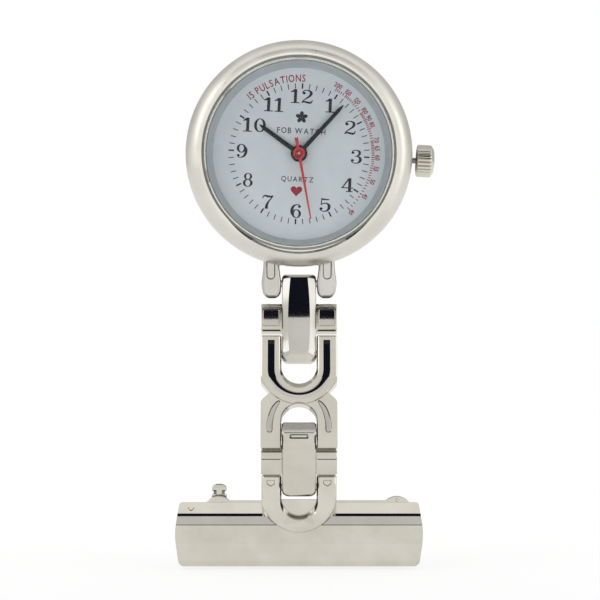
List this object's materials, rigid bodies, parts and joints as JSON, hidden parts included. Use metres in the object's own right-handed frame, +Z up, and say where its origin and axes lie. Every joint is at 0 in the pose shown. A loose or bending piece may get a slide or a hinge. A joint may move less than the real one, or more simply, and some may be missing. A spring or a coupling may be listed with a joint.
{
  "type": "fob watch",
  "caption": "Round quartz fob watch on three hinged links below which hangs a bar brooch with a swinging pin and a rolling safety catch.",
  "frame": {"origin": "centre of the flat of the case back, on its outer face", "axes": "+Z up from the brooch towards 12 o'clock, +Y out of the case back, so that the dial faces -Y, +X towards the crown"},
  "size_m": [0.0344, 0.0127, 0.0697],
  "materials": {
    "nickel_plate": "polished",
    "pin_steel": "satin",
    "watch_glass": "polished",
    "gasket_rubber": "matte",
    "dial_enamel": "satin",
    "hand_black": "satin",
    "hand_red": "satin",
    "movement_brass": "satin",
    "movement_steel": "satin",
    "ring_plastic": "matte",
    "board_green": "satin",
    "chip_black": "matte",
    "coil_copper": "satin"
  },
  "bodies": {
    "head": {"case_body": "nickel_plate", "case_back": "nickel_plate", "back_gasket": "gasket_rubber", "crystal": "watch_glass", "crystal_gasket": "gasket_rubber", "dial": "dial_enamel", "movement_ring": "ring_plastic", "main_plate": "movement_brass", "train_bridge": "movement_brass", "circuit_board": "board_green", "ic_chip": "chip_black", "quartz_can": "movement_steel", "coil": "coil_copper", "coil_core": "movement_steel", "stator": "movement_steel", "battery": "movement_steel", "battery_strap": "movement_steel", "movement_screws": "movement_steel", "stem_seal": "gasket_rubber", "lug_pin": "pin_steel"},
    "seconds": {"second_hand": "hand_red", "fourth_wheel": "movement_brass"},
    "third": {"third_wheel": "movement_brass"},
    "centre": {"centre_wheel": "movement_brass"},
    "intermediate": {"intermediate_wheel": "movement_brass"},
    "step_rotor": {"rotor": "movement_steel"},
    "minutes": {"minute_hand": "hand_black", "cannon_pinion": "movement_brass"},
    "hours": {"hour_hand": "hand_black", "hour_wheel": "movement_brass"},
    "motion_work": {"minute_wheel": "movement_brass"},
    "setting": {"setting_wheel": "movement_steel"},
    "clutch": {"sliding_pinion": "movement_steel"},
    "winder": {"winding_stem": "pin_steel", "crown": "nickel_plate"},
    "upper_cross": {"upper_cross_link": "nickel_plate"},
    "double_u": {"double_u_link": "nickel_plate", "link_pin_upper": "pin_steel", "link_pin_lower": "pin_steel"},
    "lower_cross": {"lower_cross_link": "nickel_plate"},
    "brooch": {"brooch_bar": "nickel_plate", "brooch_link_pin": "pin_steel", "pin_base_plate": "nickel_plate", "base_rivets": "pin_steel", "pin_joint": "nickel_plate", "joint_rivet": "pin_steel", "catch_housing": "nickel_plate"},
    "catch": {"catch_roller": "nickel_plate"},
    "brooch_pin_stem": {"pin_stem": "pin_steel"}
  },
  "joints": [
    {"name": "seconds_hand_turn", "type": "hinge", "parent": "head", "child": "seconds", "pos_m": [0, 0, 0], "axis": [0, 1, 0], "continuous": true},
    {"name": "third_wheel_turn", "type": "hinge", "parent": "head", "child": "third", "pos_m": [-0.00147, 0, -0.00158], "axis": [0, 1, 0], "continuous": true},
    {"name": "centre_wheel_turn", "type": "hinge", "parent": "head", "child": "centre", "pos_m": [0, 0, 0], "axis": [0, 1, 0], "continuous": true},
    {"name": "intermediate_wheel_turn", "type": "hinge", "parent": "head", "child": "intermediate", "pos_m": [0.00164, 0, -0.00153], "axis": [0, 1, 0], "continuous": true},
    {"name": "rotor_turn", "type": "hinge", "parent": "head", "child": "step_rotor", "pos_m": [0.00262, 0, -0.00345], "axis": [0, 1, 0], "continuous": true},
    {"name": "crown_turn", "type": "hinge", "parent": "head", "child": "clutch", "pos_m": [0.00599, -0.0031, -0.00031], "axis": [0.9986, 0, -0.0523], "continuous": true},
    {"name": "setting_wheel_turn", "type": "hinge", "parent": "head", "child": "setting", "pos_m": [0.00509, 0, -0.00027], "axis": [0, 1, 0], "continuous": true},
    {"name": "minute_wheel_turn", "type": "hinge", "parent": "head", "child": "motion_work", "pos_m": [0.0024, 0, -0.00013], "axis": [0, 1, 0], "continuous": true},
    {"name": "minute_hand_turn", "type": "hinge", "parent": "head", "child": "minutes", "pos_m": [0, 0, 0], "axis": [0, 1, 0], "continuous": true},
    {"name": "hour_hand_turn", "type": "hinge", "parent": "head", "child": "hours", "pos_m": [0, 0, 0], "axis": [0, 1, 0], "continuous": true},
    {"name": "crown_push", "type": "slide", "parent": "clutch", "child": "winder", "axis": [0.9986, 0, -0.0523], "range_m": [-0.0005, 0]},
    {"name": "link_1_hinge", "type": "hinge", "parent": "head", "child": "upper_cross", "pos_m": [0, -0.0038, -0.0172], "axis": [-1, 0, 0], "range_deg": [-93, 57]},
    {"name": "link_2_hinge", "type": "hinge", "parent": "upper_cross", "child": "double_u", "pos_m": [0, -0.00682, -0.0265], "axis": [1, 0, 0], "range_deg": [-75, 75]},
    {"name": "link_3_hinge", "type": "hinge", "parent": "double_u", "child": "lower_cross", "pos_m": [0, -0.01013, -0.03667], "axis": [-1, 0, 0], "range_deg": [-17.4, 132.6]},
    {"name": "link_4_hinge", "type": "hinge", "parent": "lower_cross", "child": "brooch", "pos_m": [0, -0.00389, -0.0442], "axis": [1, 0, 0], "range_deg": [-35.4, 114.6]},
    {"name": "catch_turn", "type": "hinge", "parent": "brooch", "child": "catch", "pos_m": [-0.0107, -0.00054, -0.0476], "axis": [-1, 0, 0], "range_deg": [0, 90]},
    {"name": "pin_swing", "type": "hinge", "parent": "brooch", "child": "brooch_pin_stem", "pos_m": [0.01304, -0.00054, -0.0476], "axis": [0, 0, -1], "range_deg": [0, 75]}
  ],
  "couplings": [
    {"joint": "third_wheel_turn", "follows": "seconds_hand_turn", "ratio": -0.13333},
    {"joint": "centre_wheel_turn", "follows": "seconds_hand_turn", "ratio": 0.016667},
    {"joint": "intermediate_wheel_turn", "follows": "seconds_hand_turn", "ratio": -6},
    {"joint": "rotor_turn", "follows": "seconds_hand_turn", "ratio": 30},
    {"joint": "setting_wheel_turn", "follows": "crown_turn", "ratio": 1},
    {"joint": "minute_wheel_turn", "follows": "crown_turn", "ratio": -0.5},
    {"joint": "minute_hand_turn", "follows": "crown_turn", "ratio": 1.5},
    {"joint": "hour_hand_turn", "follows": "crown_turn", "ratio": 0.125}
  ]
}
